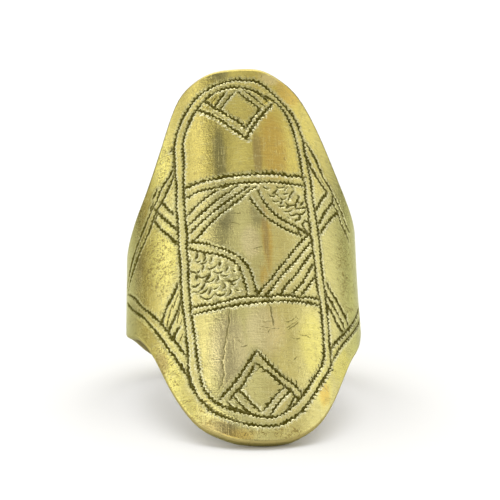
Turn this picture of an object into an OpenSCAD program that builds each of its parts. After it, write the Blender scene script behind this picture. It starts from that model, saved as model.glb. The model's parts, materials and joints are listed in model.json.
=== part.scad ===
// Long shield ring of folk make: one sheet of brass, a tall oval shield in front that
// narrows to a plain band round the back of the finger, with an engraved face.
// Millimetres. The origin is the middle of the finger hole. X is to the right, Z is up, and
// the ring lies on its side: on the lower tip of the shield and the lower edge of the band.

/* [Ring] */

// Inside diameter of the band
finger_hole_d = 18.6; // [14:0.1:23]
// Thickness of the metal
metal_t = 1.2; // [0.8:0.1:2]
// Length of the shield along the finger
shield_len = 34.4; // [22:0.2:44]
// Width of the shield across the finger at half its height, measured round the curve
shield_w = 17.2; // [12:0.2:24]
// How abruptly the shield narrows into the band
shoulder = 3.7; // [2.5:0.1:5]
// Width of the band at the back of the finger
band_w = 7; // [4:0.5:12]

/* [Engraving] */

// Width of a cut line
cut_w = 0.28; // [0.2:0.02:0.5]
// Depth of a cut line
cut_depth = 0.14; // [0.08:0.02:0.3]
// Width of the oval border
border_w = 12.8; // [8:0.2:14]
// Length of the oval border
border_len = 31.6; // [20:0.2:34]
// Distance between the border's two lines
border_gap = 0.85; // [0.6:0.05:1.5]
// How far the whole pattern leans to the left of the finger's line, in degrees
pattern_lean = 3; // [-6:0.5:6]

/* [Hidden] */

$fn = 100;
brass = [0.78, 0.68, 0.32];

hole_r = finger_hole_d / 2;
outer_r = hole_r + metal_t;
tip_half = shield_len / 2;

// The blank's outline: half its width along the finger at a place round the curve.
function blank_half(round_curve) =
    band_w / 2 + (tip_half - band_w / 2) / (1 + pow(abs(round_curve) / (shield_w / 2), shoulder));

// The angle between the finger's line and the ground when the ring lies on its side.
back_half = blank_half(PI * outer_r);
lying_angle = atan2(hole_r + outer_r, tip_half - back_half);

// The blank is cut out of the tube by a loop of radial sections, which reaches past the wall
// on both sides. The first section is half a step off the back, clear of the tube's own facets.
sections = 80;
cutter_reach = 0.6;
section_angle = 360 / sections;

// The pattern's own middle on the sheet: across, along the finger.
pattern_mid = [0.1, 0.3];
// Longest straight piece of a cut line, measured across the finger
cut_piece = 2.5;
// Share of a cut line's width that its straight pieces run on past their ends, together
run_on = 0.6;
// Pieces in each round end of the border
end_pieces = 7;

// The two cross-bands, each between the sides of the oval: height of its upper line, height of
// its lower line
cross_bands = [[6.55, 5.65], [-4.8, -5.3]];

// Bundles of cut lines on the flat sheet. Each bundle runs evenly from its first line to its
// last, and each line bends from its start through its middle to its end.
//   name, lines, first line [start, middle, end], last line [start, middle, end]
bundles = [
    ["head vee, left", 2,
        [[-3.5, 13.5], [-1.4, 11.8], [0.6, 9.8]], [[-2.9, 14.1], [-1.1, 12.6], [0.6, 11.1]]],
    ["head vee, right", 2,
        [[0.6, 9.8], [1.8, 11.8], [3.3, 13.5]], [[0.6, 11.1], [1.3, 12], [1.9, 12.9]]],
    ["head diamond, left", 2,
        [[-2.1, 13.3], [-1.5, 14.1], [-0.9, 14.8]], [[-1.4, 13], [-0.8, 13.9], [0, 14.8]]],
    ["head diamond, right", 2,
        [[0.3, 14.8], [1.2, 13.8], [2.1, 12.8]], [[0.9, 14.8], [1.7, 13.9], [2.5, 13.1]]],
    ["foot vee, left", 2,
        [[-0.4, -9.5], [-2, -11.5], [-3.9, -13.4]], [[-0.6, -10.6], [-1.7, -12.1], [-3.1, -13.4]]],
    ["foot vee, right", 2,
        [[-0.4, -9.5], [1.2, -11.5], [3.2, -13.2]], [[-0.6, -10.6], [1.1, -12.3], [3, -13.8]]],
    ["foot diamond, left", 2,
        [[-2.3, -12.8], [-1.4, -13.8], [-0.5, -14.7]], [[-2.7, -13.1], [-1.9, -14.2], [-0.9, -15]]],
    ["foot diamond, right", 2,
        [[-0.4, -14.6], [0.7, -13.6], [1.8, -12.7]], [[0.2, -15], [1.2, -14], [2.3, -13]]],
    ["middle, upper left", 3,
        [[-5.3, 3.5], [-3.9, 4.5], [-2.3, 5.4]], [[-5.4, 1.1], [-2.3, 3], [0.8, 5.3]]],
    ["middle, upper right", 2,
        [[0.4, 4.5], [2.1, 2.1], [4.8, 0.9]], [[1.2, 5.1], [2.8, 2.4], [5.5, 1.5]]],
    ["middle, lower left", 2,
        [[-5.4, 1.1], [-1.4, -0.7], [0.2, -4.7]], [[-5.5, 0.5], [-1.9, -1.2], [-0.6, -4.7]]],
    ["middle, lower right", 3,
        [[5.6, 1], [2.7, -1.7], [0.3, -4.7]], [[5.8, -2.7], [4.9, -3.6], [4, -4.5]]],
    ["left wing, upper", 2,
        [[-6.3, 10.4], [-9.5, 5.4], [-13.9, 0.9]], [[-6.6, 8], [-9.4, 4.1], [-13, 0.8]]],
    ["left wing, lower", 2,
        [[-14.9, 0.2], [-10, -4], [-6.6, -9]], [[-14.9, -0.8], [-9.6, -5.9], [-6.4, -11.8]]],
    ["right wing, upper", 2,
        [[6.2, 10.6], [8.9, 6.6], [13.4, 1]], [[6.6, 8], [8.6, 5.1], [11.7, 1.9]]],
    ["right wing, lower", 2,
        [[6.8, -9.1], [10.3, -6], [14.3, -3.2]], [[6.6, -10.4], [10.2, -6.9], [14.6, -4.3]]],
];

function mix(a, b, share) = a + (b - a) * share;

// A point of the curve that passes from a through b to c.
function bend(line, share) =
    let (pull = 2 * line[1] - (line[0] + line[2]) / 2)
    mix(mix(line[0], pull, share), mix(pull, line[2], share), share);

// A place in the pattern, put on the sheet: round the curve, along the finger.
function on_sheet(p) = [
    pattern_mid[0] + p[0] * cos(pattern_lean) - p[1] * sin(pattern_lean),
    pattern_mid[1] + p[0] * sin(pattern_lean) + p[1] * cos(pattern_lean)];

// A solid loop round the finger hole with the outline of the blank.
module blank_cutter() {
    inner = hole_r - cutter_reach;
    outer = outer_r + cutter_reach;
    corner = function (r, angle, along) [r * sin(angle), along, r * cos(angle)];
    points = [for (i = [0 : sections - 1])
        let (angle = (i + 0.5) * section_angle - 180, half = blank_half(outer_r * angle * PI / 180))
        each [corner(inner, angle, -half), corner(outer, angle, -half),
            corner(outer, angle, half), corner(inner, angle, half)]];
    faces = [for (i = [0 : sections - 1], side = [0 : 3])
        let (here = 4 * i, next = 4 * ((i + 1) % sections), other = (side + 1) % 4)
        each [[here + side, next + other, next + side], [here + side, here + other, next + other]]];
    polyhedron(points, faces);
}

// A round bar along the finger, longer than the shield.
module bar(r, extra_len) {
    rotate([90, 0, 0]) cylinder(r = r, h = shield_len + extra_len, center = true);
}

module blank() {
    intersection() {
        difference() {
            bar(outer_r, 2);
            bar(hole_r, 4);
        }
        blank_cutter();
    }
}

// One straight piece of a cut line, square to the curved face at its middle.
module cut(from, to) {
    a = on_sheet(from);
    b = on_sheet(to);
    run = b - a;
    rotate([0, (a[0] + b[0]) / 2 / outer_r * 180 / PI, 0])
        translate([0, (a[1] + b[1]) / 2, outer_r])
        rotate([0, 0, atan2(run[1], run[0])])
        cube([norm(run) + cut_w * run_on, cut_w, 2 * cut_depth], center = true);
}

module cut_line(line) {
    pieces = ceil(abs(line[2][0] - line[0][0]) / cut_piece);
    for (i = [0 : pieces - 1]) cut(bend(line, i / pieces), bend(line, (i + 1) / pieces));
}

// An oval line of two straight sides and two round ends.
module oval_line(half_w, half_len) {
    straight = half_len - half_w;
    for (side = [-1, 1]) {
        cut([side * half_w, -straight], [side * half_w, straight]);
        for (i = [0 : end_pieces - 1]) {
            a = 180 * i / end_pieces;
            b = 180 * (i + 1) / end_pieces;
            cut([half_w * cos(a), side * (straight + half_w * sin(a))],
                [half_w * cos(b), side * (straight + half_w * sin(b))]);
        }
    }
}

// A line from side to side of the inner oval: part of a thin hoop round the finger, tipped by
// the pattern's lean.
module cross_line(along) {
    span = (border_w - 2 * border_gap) / outer_r * 180 / PI;
    rotate([0, 0, pattern_lean]) translate([0, pattern_mid[1] + along, 0])
        rotate([90, 0, 0]) rotate([0, 0, 90 - span / 2]) rotate_extrude(angle = span)
        translate([outer_r - cut_depth, -cut_w / 2]) square([2 * cut_depth, cut_w]);
}

module engraving() {
    for (band = cross_bands, along = band) cross_line(along);
    for (inset = [0, border_gap]) oval_line(border_w / 2 - inset, border_len / 2 - inset);
    for (bundle = bundles, i = [0 : bundle[1] - 1])
        cut_line([for (p = [0 : 2]) mix(bundle[2][p], bundle[3][p], i / (bundle[1] - 1))]);
}

module ring() {
    color(brass) rotate([lying_angle, 0, 0]) difference() {
        blank();
        engraving();
    }
}

ring();
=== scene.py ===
"""Looks of a long shield ring of folk make: one sheet of brass, engraved by hand and long worn.

The blank is made as a flat sheet, cut to its outline, engraved, and then bent round the finger.
On the flat sheet x is across the shield, y runs along the finger and z is the height over the
outer face, all in millimetres. Bent, the ring lies on its side in the frame of the part.
"""
import json
import math
from collections import namedtuple

import bmesh
import bpy
import numpy as np
from mathutils import Matrix, Vector, noise


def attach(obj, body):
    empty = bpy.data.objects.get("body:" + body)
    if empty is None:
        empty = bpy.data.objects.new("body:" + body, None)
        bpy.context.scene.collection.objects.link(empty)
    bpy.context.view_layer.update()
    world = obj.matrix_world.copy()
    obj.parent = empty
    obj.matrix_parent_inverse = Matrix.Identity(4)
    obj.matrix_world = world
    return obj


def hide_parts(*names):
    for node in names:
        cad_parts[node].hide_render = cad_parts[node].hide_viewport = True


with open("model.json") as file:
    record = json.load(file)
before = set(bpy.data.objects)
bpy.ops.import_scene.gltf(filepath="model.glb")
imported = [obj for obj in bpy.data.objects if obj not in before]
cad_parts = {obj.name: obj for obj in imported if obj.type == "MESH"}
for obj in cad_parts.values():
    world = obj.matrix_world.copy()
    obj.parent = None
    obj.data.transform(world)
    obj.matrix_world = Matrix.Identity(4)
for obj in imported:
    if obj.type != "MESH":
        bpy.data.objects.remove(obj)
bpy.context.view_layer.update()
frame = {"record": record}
MM = 0.001

# The blank's sizes
FINGER_HOLE_R = 9.3
METAL = 1.2
OUTER_R = FINGER_HOLE_R + METAL
ROUND_HALF = math.pi * OUTER_R  # from the middle of the shield round to the back
TIP_UP, TIP_DOWN = 17.3, 17.0  # from the middle of the finger hole to the shield's two tips
SHOULDER_AT = 8.95  # where the shield has narrowed half way, measured across
SHOULDER_POWER = 3.75  # how abruptly it narrows
BAND_HALF_FRONT = 2.8  # the half width that the shoulders run towards
BAND_HALF_BACK = 3.35  # the band's half width behind the finger
BACK_WIDENS = (17.0, 27.0)  # from where to where across
# How far the hand-cut edge strays outwards from that outline: across, upper edge, lower edge
EDGE_STRAYS = np.array([
    (-30, 0.0, 0.0), (-24, 0.0, -0.45), (-20.5, 0.0, -1.0), (-17, 0.0, -0.6), (-14, 0.0, -0.32),
    (-12, 0.0, -0.66), (-10, -0.25, -0.62), (-8, -0.1, 0.2), (-6, 0.5, 0.2), (-4, 0.2, -0.25),
    (-2, 0.2, -0.1), (0, 0.2, 0.05), (2, 0.16, -0.05), (4, -0.12, -0.3), (6, 0.08, -0.1),
    (8, 0.12, 0.25), (10, 0.05, 0.65), (12, 0.2, 1.15), (14, 0.3, 0.75), (16, 0.1, 0.2),
    (18, 0.0, 0.0), (30, 0.0, 0.0),
])
BLANK_LEAN = math.radians(-2.44)  # the shield sits a little askew on the hoop
LEAN_FADES = (17.0, 32.0)  # from where to where across
FILED_RIM = 0.34  # radius of the filed edge
RIM_ANGLE = 1.2  # edges of the sheet sharper than this are filed, in radians
# Gentle waves of the worn sheet: height, length, seed
WAVES = ((0.060, 6.5, 3.0), (0.014, 2.4, 9.0))

# The sheet's mesh
COLUMNS = 124
ROWS = 88
CROWD_FRONT = 0.32  # share by which the columns crowd towards the shield
RIM_ROW = 0.42  # distance of the first row from the edge, square to it
SLOPE_STEP = 0.05  # over which the edge's slope is measured
REFINE_REACH = (0.60, 0.34)  # faces this near a stroke are split, once for each
REFINE_SEARCH = 0.8  # how far off such faces are looked for
FACE_SHARE = 0.4  # share of a face's size by which it may be further off
FACE_UP = 0.95  # upright share of the normal of a face that is on top
STROKE_REACH = 0.6  # how far a stroke colours the metal beside it
SKIN = 0.01  # a point this near a face of the sheet belongs to that face
WELD = 0.02  # points of the two ends this near are joined
UNDER_RIM = (-0.1, -0.7)  # the rim turns into its underside between these heights

# The finger's axis in the frame of the part
finger = frame["record"]["mounts"][0]["axis"]
LYING = math.atan2(finger[2], finger[1])

# The engraving
PATTERN_LEAN = math.radians(1.3)  # of the engraving on the blank
PATTERN_MIDDLE = (0.0, 0.35)
CURVE_STEP = 0.16  # between the points of a smoothed stroke
# A kind of stroke: half its width, its depth, one rock of the graver, the sway to the sides of
# the rocking graver, the teeth that it leaves at the edges, its darkness, the burr beside it,
# and the length of its tapered ends
Kind = namedtuple("Kind", "half depth rock sway teeth ink burr tip")
KINDS = {
    "rope": Kind(0.112, 0.130, 0.37, 0.070, 0.075, 1.00, 1.00, 0.28),
    "vee": Kind(0.125, 0.130, 0.42, 0.070, 0.080, 1.00, 1.30, 0.28),
    "foot": Kind(0.122, 0.130, 0.40, 0.060, 0.080, 1.00, 0.84, 0.28),
    "line": Kind(0.098, 0.115, 0.41, 0.045, 0.060, 1.00, 1.00, 0.28),
    "wing": Kind(0.134, 0.125, 0.44, 0.058, 0.070, 1.00, 1.00, 0.28),
    "sweep": Kind(0.126, 0.125, 0.44, 0.058, 0.070, 1.00, 1.00, 1.40),
    "tick": Kind(0.092, 0.080, 0.34, 0.025, 0.040, 1.00, 1.00, 0.28),
    "hatch": Kind(0.068, 0.055, 0.34, 0.015, 0.030, 0.92, 0.00, 0.28),
    "scale": Kind(0.086, 0.130, 0.50, 0.000, 0.050, 0.96, 1.00, 0.28),
    "gouge": Kind(0.080, 0.022, 0.90, 0.050, 0.010, 0.74, 0.00, 0.80),
    "scratch": Kind(0.050, 0.010, 0.90, 0.030, 0.005, 0.70, 0.00, 0.50),
}
PLAIN_LIP = 0.48  # burr beside a stroke without beads, against one with them
LIT_FROM = (0.80, -0.60)  # the side of a stroke that faces the light: across, along the finger
HAIR = 0.31  # length of the hair ticks at a stroke's edge
RUN_OUT = 0.12  # how far past its ends a stroke fades
CUT_SPREAD = 1.25  # width of a cut against its dark core
CUT_FULLNESS = 0.9  # below 1, the cut is fuller than a plain vee
SCALE_SLOPE = 0.34  # how far the shallow side of a scale's cut reaches
LIP_HEIGHT, LIP_OFF, LIP_WIDE = 0.045, 0.05, 0.075  # of the burr; how far off the cut it is
# Unevenness of work by hand: size, rate along the stroke, shift from stroke to stroke
UNEVEN_BEAT = ((0.125, 2.3, 1.0), (0.125, 5.1, 2.0))
UNEVEN_WIDTH = ((0.14, 1.7, 3.0), (0.08, 4.3, 1.0))
MEAN_WIDTH = 0.95  # about which the width of a stroke varies
BEAT_SHIFT = 0.37  # of the graver's beat, from stroke to stroke
# The long upper strokes of the wings are broader: between these places across and along
BROAD_ACROSS, BROAD_ALONG, BROADER = (8.5, 13.5), (-1.0, 1.5), 0.8

# Strokes of the engraving, in groups of the same make: kind, the side of the beads of burr with
# the painted glints on them, the side of the hair ticks, and a list for each stroke: across, along,
# across, along and so on, in pairs from the pattern's middle. Left is left of the stroke's run.
STROKES = [
    # border, outer line and inner line, both clockwise
    ("rope", "", "", [[1.28, 15.8, 1.93, 15.73, 2.24, 15.58, 3.36, 14.59, 4.38, 13.49, 4.9, 12.89,
     5.28, 12.29, 5.58, 11.62, 5.78, 10.86, 6.01, 10.34, 6.02, 9.64, 6.36, 5.93, 6.36, 4.68,
     6.58, 2.18, 6.63, -0.24, 6.6, -0.98, 6.72, -4.43, 6.71, -7.6, 6.63, -8.6, 6.67, -9.04,
     6.6, -9.5]]),
    ("foot", "left", "left", [[6.63, -9.5, 6.53, -10.4, 5.67, -11.59, 5.2, -12.16, 3.55, -14.09,
     3.14, -14.54, 2.76, -14.86]]),
    ("foot", "left", "", [[2.77, -14.86, 2.37, -15.15, 1.47, -15.64, 1, -15.87, 0.74, -15.92,
     0.28, -15.95, -0.85, -15.87, -2.27, -15.47], [-2.25, -15.49, -3.51, -14.9, -4.1, -14.54,
     -4.83, -13.87, -5.1, -13.49, -5.43, -13.16, -5.69, -12.77]]),
    ("rope", "", "", [[-5.69, -12.77, -5.99, -11.97, -6.21, -11.52, -6.32, -10.79, -6.28, -8.19,
     -6.33, -7.73, -6.32, -6.62, -6.46, -3.19, -6.4, -2.64, -6.44, -2.17, -6.39, -1.8, -6.4, 1.15,
     -6.32, 3.16, -6.33, 4.9, -6.17, 7.2, -6.22, 8.01, -6.14, 9.39, -6.16, 10.66, -5.89, 11.54,
     -5.08, 13.12, -4.22, 14.18, -3.75, 14.63, -3.25, 14.99, -2.28, 15.46, -1.51, 15.72]]),
    ("rope", "right", "left", [[-1.5, 15.7, -0.61, 15.88, 0.01, 15.95, 0.55, 15.92, 1.29, 15.78]]),
    ("rope", "right", "", [[0.52, 15.12, 1.08, 15.02, 1.35, 14.92, 1.78, 14.72, 2.48, 14.31]]),
    ("rope", "", "", [[2.48, 14.31, 2.98, 14.1, 3.21, 13.95, 4.41, 12.68, 4.81, 11.8, 5.07, 10.84,
     5.39, 8.63, 5.56, 6.25, 5.66, 5.71, 5.56, 4.82, 5.72, 3.25, 5.65, 2.56, 5.74, 1.74,
     5.68, 1.15, 5.79, 0.72, 5.77, -0.48, 5.84, -1.02, 5.89, -4.01, 6.03, -4.69]]),
    ("rope", "", "right", [[6, -4.7, 6.01, -7.47, 5.89, -9.15, 5.82, -9.79, 5.74, -10.07,
     5.51, -10.52, 5.03, -11.22, 4.51, -11.77, 3.94, -12.51, 2.55, -14.06]]),
    ("rope", "", "", [[2.56, -14.05, 1.46, -14.82, 1.08, -15.04, 0.73, -15.17, 0.28, -15.24,
     -1.12, -14.97, -2.07, -14.67, -3.08, -14.25, -3.67, -13.89, -4.09, -13.59, -4.81, -12.71,
     -5, -12.37, -5.15, -12.01, -5.31, -11]]),
    ("rope", "left", "", [[-5.3, -11, -5.51, -8.18, -5.51, -7.45, -5.58, -6.98, -5.61, -6.23,
     -5.74, -5.38]]),
    ("rope", "", "", [[-5.72, -5.38, -5.68, -4.74, -5.68, -2.21, -5.58, -0.72, -5.58, 0.99,
     -5.5, 1.54, -5.52, 3.76, -5.44, 6.9, -5.25, 8.92, -5.14, 10.94, -4.39, 12.57, -4.1, 13.05,
     -3.7, 13.54, -2.75, 14.4, -2.14, 14.79, -1.82, 14.95]]),
    ("rope", "right", "", [[-1.82, 14.95, -1.29, 15.12, -0.75, 15.22, -0.11, 15.24, 0.51, 15.18]]),
    # cross-bands
    ("vee", "right", "left", [[-5.33, 6.3, -4.06, 6.49, -3.06, 6.52, -1.27, 6.57, 0.14, 6.59,
     3.51, 6.6, 4.36, 6.51, 4.98, 6.6, 5.7, 6.59]]),
    ("rope", "", "", [[-5.31, 5.42, -4.84, 5.45, -4.42, 5.61, -4.07, 5.67, -3.16, 5.69,
     -2.44, 5.66]]),
    ("vee", "right", "", [[-2.44, 5.66, -2, 5.74, -0.58, 5.82, 1.58, 5.81]]),
    ("rope", "", "", [[1.58, 5.81, 2.5, 5.84, 3.16, 5.82, 5.71, 5.72]]),
    ("rope", "right", "", [[-5.5, -4.9, -4.25, -4.91, -3.73, -5.02, -3.23, -4.91, -2.46, -4.88,
     -1.97, -4.76, 0.7, -4.75, 1.16, -4.76, 1.72, -4.65, 2.47, -4.63, 3.53, -4.69, 4, -4.75,
     4.74, -4.64, 5.38, -4.64, 6.03, -4.68]]),
    ("rope", "", "", [[-5.5, -5.5, -2.38, -5.39]]),
    ("vee", "right", "", [[-2.38, -5.39, -0.94, -5.28, 0.32, -5.23, 1.71, -5.16]]),
    ("rope", "", "right", [[1.71, -5.16, 3.54, -5.1, 5.93, -5.21]]),
    # head vee and diamond
    ("vee", "right", "", [[-3.57, 13.6, -2.53, 12.98, -1.97, 12.54, -1.1, 11.74, -0.59, 11.18,
     -0.24, 10.89, 0.7, 9.9]]),
    ("vee", "both", "right", [[0.56, 10, 0.96, 10.75, 1.31, 11.29, 2.4, 12.58, 3.33, 13.56]]),
    ("vee", "right", "left", [[-2.84, 14.37, -2.23, 13.79, -1.88, 13.39, -1.41, 13.03,
     -0.87, 12.45, 0.03, 11.76, 0.62, 11.03]]),
    ("vee", "right", "", [[0.67, 11.13, 1.05, 11.69, 2.11, 12.99]]),
    ("line", "", "left", [[-2.06, 13.36, -1.24, 14.37, -0.82, 14.81]]),
    ("line", "", "", [[-1.5, 13.08, -1.02, 13.72, 0, 14.8]]),
    ("line", "", "right", [[0.28, 14.78, 0.8, 14.18, 1.5, 13.53, 2.14, 12.84]]),
    ("line", "", "", [[0.88, 14.78, 1.73, 14.03, 2.23, 13.49, 2.59, 13.2], [1.58, 14.76,
     2.46, 14.18, 2.92, 13.62]]),
    ("hatch", "", "", [[-3.07, 14.12, -2.29, 14.66], [-2.5, 13.6, -1.63, 14.54], [2.49, 13.52,
     3.08, 13.94], [2.9, 13.1, 3.47, 13.64]]),
    # foot vee and diamond
    ("foot", "", "left", [[-0.39, -9.51, -0.59, -9.71, -1.96, -11.48, -2.91, -12.48,
     -3.91, -13.38], [-0.37, -9.47, 0.16, -10.27, 0.55, -10.72, 1.8, -11.97, 2.39, -12.37,
     2.83, -12.82, 3.16, -13.24], [-0.66, -10.57, -0.99, -11.2, -1.51, -11.88, -1.74, -12.25,
     -2.71, -13.14, -2.98, -13.53]]),
    ("foot", "", "right", [[-0.59, -10.58, -0.14, -10.9, 1.1, -12.08, 1.38, -12.37, 1.99, -12.83,
     2.25, -13.1, 2.57, -13.51, 3.04, -13.72]]),
    ("line", "left", "right", [[-2.24, -12.74, -1.71, -13.29, -1.17, -14.05, -0.81, -14.42,
     -0.56, -14.77]]),
    ("line", "", "right", [[-2.7, -13.1, -2.18, -13.93, -1.75, -14.49, -1.49, -14.72,
     -0.88, -15.08]]),
    ("line", "", "left", [[-0.35, -14.66, 0.62, -13.6, 1.29, -12.97, 1.78, -12.65]]),
    ("line", "both", "", [[0.18, -15.08, 0.86, -14.21, 2.21, -12.92]]),
    ("line", "", "", [[-3.31, -14.03, -2.36, -14.4, -2.01, -14.61, -1.62, -14.78]]),
    ("tick", "", "", [[-3.2, -13.6, -2.77, -14.2, -2.58, -14.39], [1.7, -14.59, 1.9, -14.39,
     2.18, -13.9, 2.57, -13.38]]),
    # slanting cuts from the outer line of the foot border
    ("hatch", "", "", [[-5.25, -13.28, -4.86, -13.27], [-4.98, -13.66, -4.59, -13.64],
     [-4.78, -13.92, -4.4, -13.9], [-4.59, -14.13, -4.21, -14.11], [-4.36, -14.34, -3.99, -14.32],
     [-4.11, -14.54, -3.74, -14.51], [-3.83, -14.72, -3.47, -14.69], [-3.55, -14.9, -3.18, -14.87],
     [-3.24, -15.04, -2.88, -15], [-2.88, -15.17, -2.52, -15.13]]),
    # middle field
    ("rope", "", "", [[-5.38, 3.61, -3.48, 4.9, -3.1, 5.1, -2.31, 5.42], [-5.3, 2.7, -3.8, 3.67,
     -2.69, 4.37, -1.6, 4.99, -1.11, 5.22]]),
    ("rope", "left", "", [[-5.3, 1.9, -3.99, 2.76, -2.91, 3.46, -1.65, 4.22, 0.41, 5.48]]),
    ("rope", "", "", [[-5.37, 1.05, -5.02, 1.14, -4.69, 1.3, -3.56, 2.19, -2.8, 2.78,
     -1.54, 3.59]]),
    ("rope", "right", "", [[-1.54, 3.59, -1.12, 3.93, -0.73, 4.16, 0, 4.7], [0.01, 4.78,
     0.52, 5.13, 1.02, 5.39]]),
    ("tick", "", "", [[-1.96, 5.49, -1.38, 5.66], [-1.24, 5.29, -0.56, 5.59]]),
    ("rope", "", "", [[0.33, 4.45, 0.88, 3.48, 1.65, 2.47, 2.06, 2.14, 2.37, 1.98, 2.73, 1.72,
     3.47, 1.36, 4.82, 0.95]]),
    ("rope", "", "left", [[1.14, 5.06, 1.68, 3.72, 2.44, 2.77, 3.43, 2.07, 4.28, 1.77, 4.83, 1.44,
     5.51, 1.21]]),
    ("rope", "", "", [[-5.4, 1.1, -5.01, 1.03, -4.18, 0.78, -3.23, 0.32]]),
    ("rope", "right", "", [[-3.23, 0.32, -2.1, -0.3, -1.28, -0.85]]),
    ("rope", "", "", [[-1.28, -0.85, -0.67, -1.56, -0.3, -2.3, -0.13, -2.98, 0.13, -4.72],
     [-5.49, 0.62, -3.62, -0.29, -3.17, -0.44]]),
    ("rope", "right", "", [[-3.17, -0.44, -2.59, -0.7, -1.89, -1.13, -1.49, -1.49, -1.22, -1.86]]),
    ("rope", "", "", [[-1.22, -1.86, -1.06, -2.28, -0.92, -2.88, -0.65, -4.71], [5.63, 1.16,
     5, 0.74, 4.2, -0.03, 2.57, -1.88, 2.21, -2.23, 1.62, -3, 0.39, -4.3, 0.01, -4.81]]),
    ("rope", "left", "", [[5.82, 0.65, 4.7, -0.47, 3.87, -1.44, 2.97, -2.29, 2.28, -3.01,
     1.54, -3.91, 1.02, -4.46, 0.66, -4.76]]),
    ("rope", "", "", [[5.81, -0.34, 4.68, -1.55, 3.81, -2.66, 2.59, -3.91, 2.1, -4.7],
     [5.75, -1.47, 5.35, -1.89, 4.55, -3.05, 4.02, -3.71, 3.22, -4.41], [5.76, -2.58, 5.05, -3.44,
     4, -4.6]]),
    # left wing
    ("sweep", "", "", [[-6.17, 10.09, -6.28, 9.3, -6.42, 8.7, -6.62, 8.3, -6.86, 8.02, -7.24, 7.76,
     -8.15, 6.91, -8.36, 6.51, -9.4, 5.54, -10.63, 4.35, -12.46, 2.9, -13.54, 2.02, -14.54, 1.31,
     -15.7, 0.62], [-6.15, 8.48, -6.3, 8.03, -6.44, 7.8, -8.02, 5.79, -8.72, 5.19, -9.7, 3.85,
     -11.78, 2.11, -13.2, 1.06, -15.05, -0.02]]),
    ("wing", "", "", [[-8.12, 6.04, -7.69, 5.6, -7.36, 5.08, -6.66, 4.26], [-8.93, 5.66,
     -8.29, 4.86, -6.39, 2.61], [-9.16, 4.57, -8.5, 3.78, -8.22, 3.34, -7.66, 2.76, -6.55, 1.32],
     [-8.38, 7.42, -8.62, 7.08, -8.95, 6.7]]),
    ("tick", "", "", [[-8.8, 7.12, -9.02, 6.66], [-8.95, 6.4, -9.25, 5.86], [-8.6, 5, -8.72, 4.56],
     [-9.3, 6.06, -9.52, 5.66], [-6.63, 10.4, -6.16, 10.62]]),
    ("hatch", "", "", [[-6.5, 10.83, -6.2, 10.96]]),
    ("wing", "", "right", [[-6.76, -2.35, -7.66, -3.69, -8.03, -4.08, -8.43, -4.71, -8.62, -5.1,
     -8.9, -5.46]]),
    ("wing", "", "", [[-6.58, -3.96, -7.42, -5.47, -7.71, -5.82, -8.06, -6.52], [-6.85, -6.26,
     -7.15, -6.51, -7.64, -7.26]]),
    ("sweep", "", "", [[-14.85, -0.12, -12.72, -1.41, -11.07, -3.09, -10.13, -3.93, -9.34, -4.77,
     -8.06, -6.47, -7.7, -7.14, -7.19, -7.73, -6.92, -8.29, -6.41, -9, -6.24, -9.47],
     [-15.34, -0.68, -13.06, -2.41, -10.96, -4.14, -9.06, -6.5, -8.47, -7.37, -8.03, -8.15,
     -7.57, -8.78, -7.34, -9.31, -7, -9.74, -6.75, -10.29, -6.41, -10.81, -6.2, -11.53]]),
    ("tick", "", "", [[-6.34, -10.51, -6.48, -10.94], [-6.1, -11.05, -6.41, -11.54],
     [-6.23, -11.41, -6.22, -11.9]]),
    ("hatch", "", "", [[-6.74, -3.2, -7.12, -3.86, -7.36, -4.4], [-7.4, -4.06, -7.82, -4.76],
     [-6.62, -4.62, -6.92, -5.3, -7.06, -5.86], [-7.66, -4.72, -8.06, -5.42, -8.14, -5.96],
     [-6.56, -5.6, -6.76, -6.04], [-6.6, -6.9, -7, -7.6]]),
    # right wing
    ("sweep", "", "", [[6.11, 10.24, 7.09, 8.9, 8.22, 6.81, 8.64, 6.42, 9.01, 5.98, 9.14, 5.62,
     9, 5.12, 9.01, 4.91, 9.64, 4.28, 9.88, 3.68, 11.26, 2.27, 11.6, 1.88], [8.87, 6.16,
     10.17, 4.67, 11.49, 3.21, 11.94, 3]]),
    ("wing", "", "", [[5.97, 9.59, 6.21, 8.57, 7.68, 6.26, 8.34, 5.71], [8.27, 5.65, 7.18, 4.46,
     6.62, 3.6], [8.96, 4.94, 8.22, 4.23, 6.78, 2.32], [9.8, 4.24, 8.76, 3.51, 6.88, 1.51],
     [6.99, -2.96, 7.5, -3.71, 7.97, -4.19, 9.26, -5.71, 9.66, -6.24], [6.76, -3.96, 7.57, -4.88,
     8.66, -6.29, 9.1, -6.92], [6.69, -4.78, 6.82, -5.11, 7.28, -5.58, 7.98, -6.63, 8.36, -6.95,
     8.72, -7.28]]),
    ("sweep", "", "left", [[13.7, -3.55, 12.29, -4.61, 8.9, -7.22, 8.13, -7.76, 7.02, -8.7,
     6.68, -9.19]]),
    ("sweep", "", "", [[14.1, -4.25, 12.87, -5.17, 9.82, -7.28, 8.31, -8.43, 7.32, -9.42,
     6.69, -10.17]]),
    ("tick", "", "", [[9.52, -5.36, 9.32, -5.91], [9.52, -5.95, 9.6, -6.34]]),
    # scales, lower left of the middle
    ("scale", "", "", [[-4.74, -0.84, -4.62, -0.9, -4.45, -0.85], [-4.41, -1.13, -4.21, -1.15,
     -3.89, -1.03], [-3.86, -1.6, -3.63, -1.78, -3.37, -1.7, -3.05, -1.53], [-5.33, -1.55,
     -5.02, -1.8, -4.72, -1.81, -4.54, -1.65], [-3.28, -2.11, -2.98, -2.27, -2.74, -2.25,
     -2.54, -2.14], [-4.69, -2.17, -4.45, -2.4, -4.19, -2.39, -3.78, -2.12], [-2.71, -2.57,
     -2.52, -2.62, -2.15, -2.59], [-4.28, -2.73, -3.97, -2.9, -3.27, -2.68], [-3.01, -2.59,
     -2.98, -2.79, -3.1, -2.9], [-2.34, -3, -2.08, -3.14, -1.25, -2.94], [-1.99, -3.37,
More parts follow.
